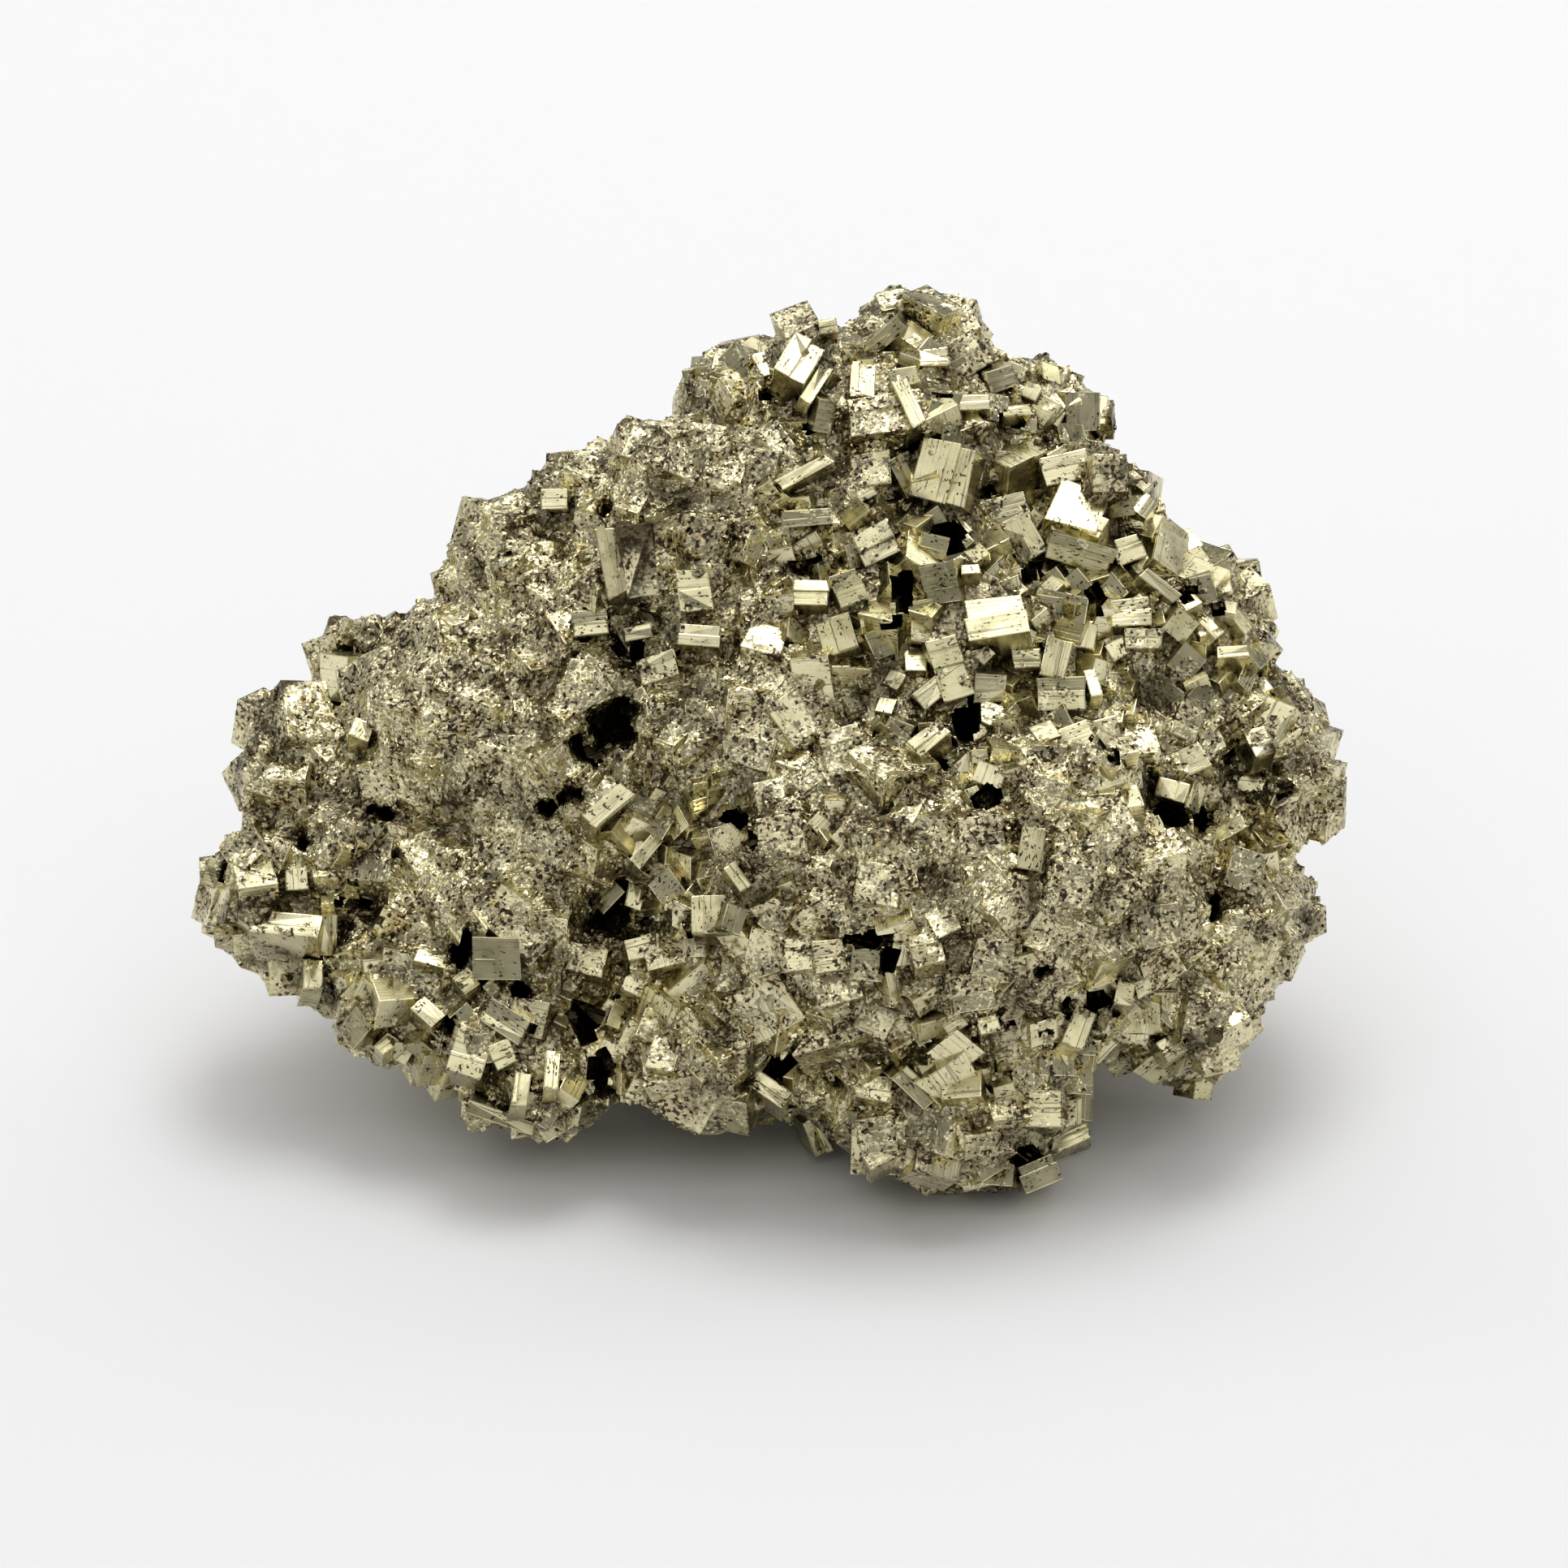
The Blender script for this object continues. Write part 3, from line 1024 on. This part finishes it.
def crust_tree():
    """Raises the skin where crust lies, roughens it, drops the rest, and strews grains over it."""
    graph, given = new_tree(
        "Crust", Float=["Thickness", "Grain edge", "Spacing", "From x", "To x"], Int=["Seed"],
        Object=["Core", "Landmarks"], Material=["Crust"],
    )
    seed = given["Seed"]
    place = graph.get("GeometryNodeInputPosition")
    x, y, z = graph.parts(place)
    outside = graph.higher(
        graph.math("LESS_THAN", x, given["From x"]), graph.math("GREATER_THAN", x, given["To x"])
    )
    skin = dropped(graph, given["Geometry"], outside)
    spot = graph.scaled(place, 1 / MM)
    core = object_geometry(graph, given["Core"])
    landmarks = object_geometry(graph, given["Landmarks"])
    cover = sampled(graph, core, attribute(graph, CRUST))
    near = 1.0 - graph.ramp(distance_to(graph, landmarks), 0.25 * MM, 0.7 * MM)
    cover = graph.blend(near, cover, sampled(graph, landmarks, attribute(graph, CRUST)))
    cover = cover + (graph.noise(spot, 0.9, 3.0) - 0.5) * 1.3 - 0.86
    height = height_over(graph, core)
    cover = cover + recessed(graph, height) * 0.5 - graph.math("LESS_THAN", height, -0.5) * 2.0
    skin = stored(graph, skin, "cover", cover, "POINT")
    skin = stored(graph, skin, HEIGHT, height, "POINT")
    cover = attribute(graph, "cover")
    lumps = (graph.noise(spot, 1.1, 3.0) - 0.5) * 1.2 + graph.out(graph.cells(spot, 1.5), "Distance") * -0.5
    rise = graph.higher(graph.lower(cover * 1.6, 0.8), -1.2)
    raised = graph.scaled(graph.get("GeometryNodeInputNormal"), (rise + lumps * 0.9) * given["Thickness"])
    skin = shifted(graph, skin, raised)
    on_floor = graph.combined(x, y, graph.higher(z, 0.0))
    skin = graph.get("GeometryNodeSetPosition", None, {"Geometry": skin, "Position": on_floor})
    skin = dropped(graph, skin, graph.math("LESS_THAN", cover, -0.35))
    density = 0.5 / (given["Spacing"] * given["Spacing"])
    share = graph.ramp(cover, 0.0, 0.2) * graph.ramp(z, 0.4 * MM, 0.6 * MM)
    scatter = scattered(graph, skin, given["Spacing"], density, share, seed)
    edge = given["Grain edge"] * (0.4 + 0.6 * random_number(graph, 0.0, 1.0, seed + 1.0) ** 2.0)
    size = graph.scaled(random_vector(graph, 0.7, 1.2, seed + 2.0), edge)
    rotation = rotation_of(graph, random_vector(graph, 0.0, 2 * math.pi, seed + 3.0))
    cube = graph.get("GeometryNodeMeshCube", None, {"Size": (1, 1, 1)})
    grains = set_on(graph, graph.out(scatter, "Points"), cube, rotation, size)
    whole = realized(graph, graph.get("GeometryNodeJoinGeometry", None, {"Geometry": [skin, grains]}))
    whole = removed(graph, whole, PLACE, HALF, CRUST, "cover")
    return finish_tree(graph, whole, given["Crust"])


class PYRITE_OT_mass(bpy.types.Operator):
    """Grows crystals over the rounded core and joins them in one mass"""

    bl_idname = "pyrite.mass"
    bl_label = "Joined mass"

    def execute(self, context):
        settings = context.scene.pyrite_crystals
        mass = core_object(settings)
        core = new_object("core", mass.data.copy())
        shape = bmesh.new()
        shape.from_mesh(mass.data)
        surface = BVHTree.FromBMesh(shape)
        shape.free()
        for each in (mass, core):
            shrink(each.data, settings.core_inset)
        tree = joined_mass_tree(
            crystal_layer_tree("Stepped crystals", GROWTH_STEPS), crystal_layer_tree("Plain crystals", ())
        )
        grow(mass, tree, {
            "Large edge": settings.large_edge,
            "Medium edge": settings.medium_edge,
            "Small edge": settings.small_edge,
            "Seed": settings.seed,
            "Landmarks": landmark_object(surface),
            "Holes": hole_object(surface),
            "Metal": metal_material(context.scene.pyrite_finish),
        })
        drop_flakes(mass.data)
        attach(mass, "root")
        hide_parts("pyrite_cluster")
        return {"FINISHED"}


class PYRITE_OT_crust(bpy.types.Operator):
    """Lays the granular crust over parts of the mass"""

    bl_idname = "pyrite.crust"
    bl_label = "Crust"

    def execute(self, context):
        settings = context.scene.pyrite_crystals
        mass = bpy.data.objects["pyrite_mass"]
        skin = divided_object("skin", mass.data.copy(), settings.crust_voxel)
        tree = crust_tree()
        material = crust_material(context.scene.pyrite_finish)
        low, high = CAD_BOX[0][0] - 2 * MM, CAD_BOX[1][0] + 2 * MM
        width = (high - low) / CRUST_PIECES
        for number in range(CRUST_PIECES):
            crust = new_object(f"crust_{number + 1}", skin.data.copy())
            grow(crust, tree, {
                "Thickness": settings.crust_thickness,
                "Grain edge": settings.grain_edge,
                "Spacing": settings.grain_spacing,
                "From x": low + width * number,
                "To x": low + width * (number + 1),
                "Seed": settings.seed + 50,
                "Core": bpy.data.objects["core"],
                "Landmarks": bpy.data.objects["landmarks"],
                "Crust": material,
            })
            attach(crust, "root")
        for name in ("skin", "core", "landmarks", "holes"):
            bpy.data.objects.remove(bpy.data.objects[name])
        return {"FINISHED"}


def stage_material(name, colour):
    material = bpy.data.materials.new(name)
    material.use_nodes = True
    shader = material.node_tree.nodes["Principled BSDF"]
    shader.inputs["Base Color"].default_value = rgba(colour)
    shader.inputs["Roughness"].default_value = 0.9
    shader.inputs["Specular IOR Level"].default_value = 0.1
    return material


def area_light(name, place, target, size, power):
    data = bpy.data.lights.new(name, "AREA")
    data.shape = "RECTANGLE"
    data.size, data.size_y = size
    data.energy = power
    made = new_object(name, data)
    made.location = place
    made.rotation_euler = (target - Vector(place)).to_track_quat("-Z", "Y").to_euler()


class PYRITE_OT_stage(bpy.types.Operator):
    """Adds the plain floor, the lights and the camera"""

    bl_idname = "pyrite.stage"
    bl_label = "Stage"

    def execute(self, context):
        settings = context.scene.pyrite_stage
        side = 2.4
        mesh = bpy.data.meshes.new("floor")
        corners = [(-side, -side, 0), (side, -side, 0), (side, side, 0), (-side, side, 0)]
        mesh.from_pydata(corners, [], [(0, 1, 2, 3)])
        mesh.materials.append(stage_material("Floor", settings.floor))
        new_object("floor", mesh)
        middle = Vector((0, 0, 0.02))
        area_light("overhead", (0.02, 0.26, 0.62), middle, (0.75, 0.9), settings.overhead)
        area_light("key", (0.05, 0.16, 0.7), middle, (0.3, 0.3), settings.key)
        area_light("front", (0.0, -0.55, 0.8), middle, (1.4, 0.5), settings.front)
        area_light("left", (-0.55, 0.25, 0.32), middle, (0.25, 0.3), settings.side)
        area_light("right", (0.55, 0.3, 0.32), middle, (0.25, 0.3), settings.side)
        world = bpy.data.worlds.new("surroundings")
        world.use_nodes = True
        background = world.node_tree.nodes["Background"]
        background.inputs["Color"].default_value = (1, 1, 1, 1)
        background.inputs["Strength"].default_value = settings.surroundings
        context.scene.world = world
        data = bpy.data.cameras.new("camera")
        data.sensor_width = SENSOR_WIDTH
        data.lens = SENSOR_WIDTH * CAMERA_DISTANCE / PHOTO_WIDTH
        data.clip_start = 0.01
        camera = new_object("camera", data)
        camera.location = CAMERA_PLACE
        camera.rotation_euler = (math.pi / 2 - CAMERA_ELEVATION, 0, 0)
        context.scene.camera = camera
        context.scene.view_settings.view_transform = "Standard"
        context.scene.cycles.max_bounces = 6
        context.scene.cycles.glossy_bounces = 3
        context.scene.cycles.diffuse_bounces = 2
        return {"FINISHED"}


class PYRITE_PT_panel(bpy.types.Panel):
    """Lists the settings and the steps"""

    bl_idname = "PYRITE_PT_panel"
    bl_label = "Pyrite specimen"
    bl_space_type = "VIEW_3D"
    bl_region_type = "UI"
    bl_category = "Pyrite"

    def draw(self, context):
        for group in (
            context.scene.pyrite_crystals, context.scene.pyrite_finish, context.scene.pyrite_stage
        ):
            box = self.layout.box()
            for name in group.bl_rna.properties.keys():
                if name not in ("rna_type", "name"):
                    box.prop(group, name)
        for operator in OPERATORS:
            self.layout.operator(operator.bl_idname)


SETTINGS = {
    "pyrite_crystals": CrystalSettings,
    "pyrite_finish": FinishSettings,
    "pyrite_stage": StageSettings,
}
OPERATORS = (PYRITE_OT_mass, PYRITE_OT_crust, PYRITE_OT_stage)


def register():
    for each in (*SETTINGS.values(), *OPERATORS, PYRITE_PT_panel):
        bpy.utils.register_class(each)
    for name, group in SETTINGS.items():
        setattr(bpy.types.Scene, name, PointerProperty(type=group))


def unregister():
    for name in SETTINGS:
        delattr(bpy.types.Scene, name)
    for each in (PYRITE_PT_panel, *OPERATORS, *SETTINGS.values()):
        bpy.utils.unregister_class(each)


def main():
    register()
    bpy.ops.pyrite.mass()
    bpy.ops.pyrite.crust()
    bpy.ops.pyrite.stage()


if __name__ == "__main__":
    main()
